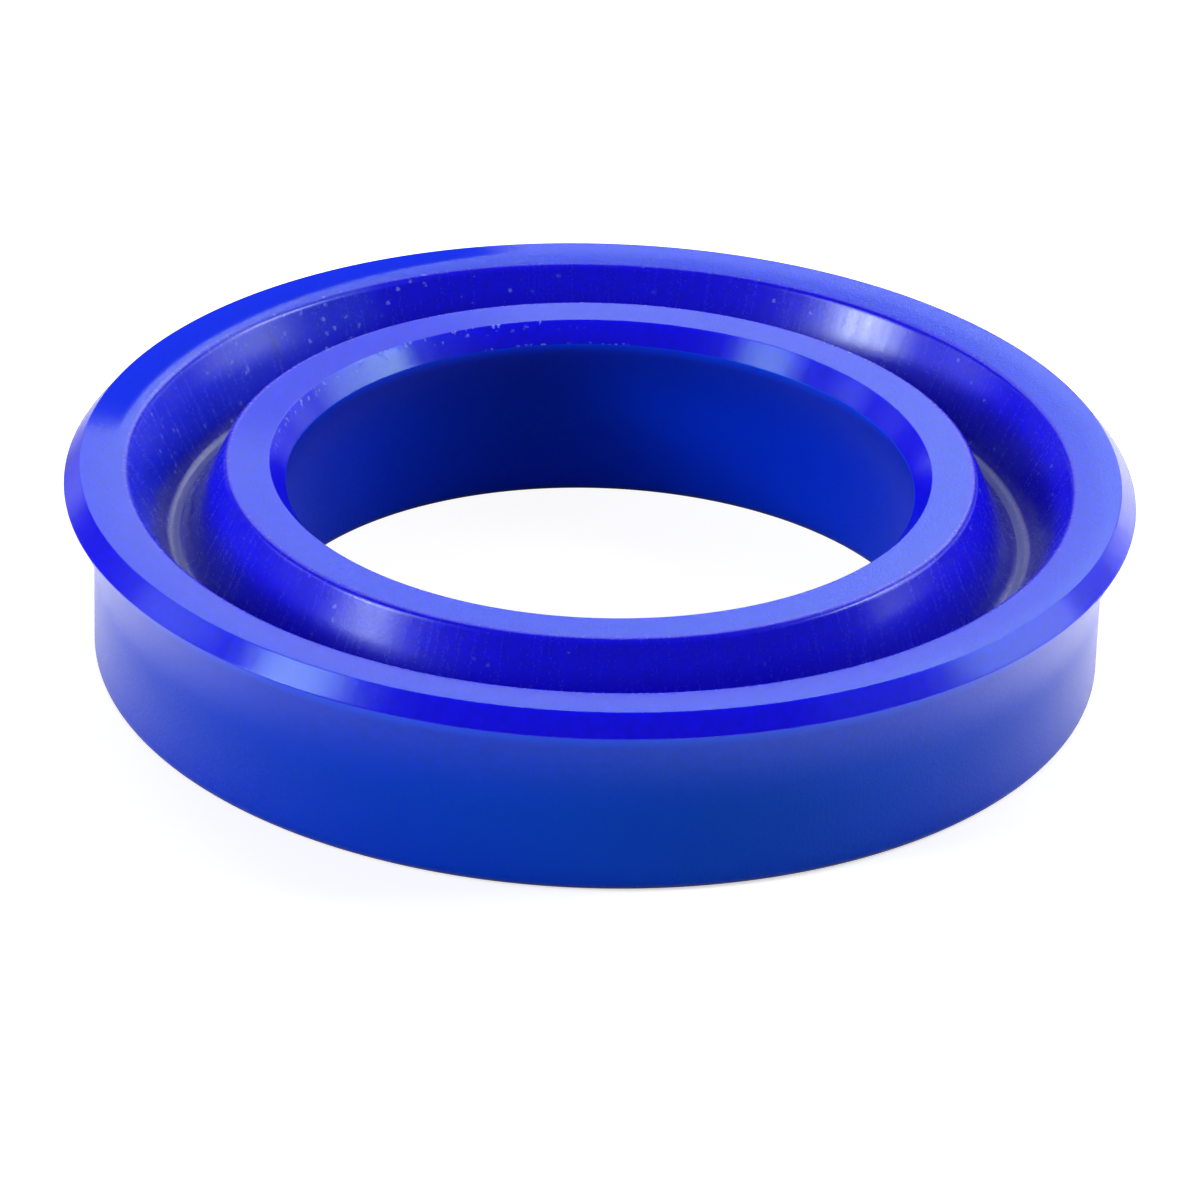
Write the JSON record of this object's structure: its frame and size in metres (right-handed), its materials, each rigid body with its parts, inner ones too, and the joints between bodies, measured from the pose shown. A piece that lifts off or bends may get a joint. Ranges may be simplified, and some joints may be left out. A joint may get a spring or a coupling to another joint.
{
  "type": "u cup seal",
  "caption": "Moulded polyurethane ring seal with a solid heel, two flared sealing lips and a rounded pressure groove between them.",
  "frame": {"origin": "centre of the flat heel face, on the seal's axis", "axes": "+Z along the seal's axis, from the heel towards the lips and the open groove; X and Y are any two radial directions"},
  "size_m": [0.0636, 0.0636, 0.012],
  "materials": {
    "polyurethane": "satin moulded blue polyurethane, faintly translucent, with fine circumferential trimming marks"
  },
  "bodies": {
    "root": {"u_cup_seal": "polyurethane"}
  },
  "joints": []
}
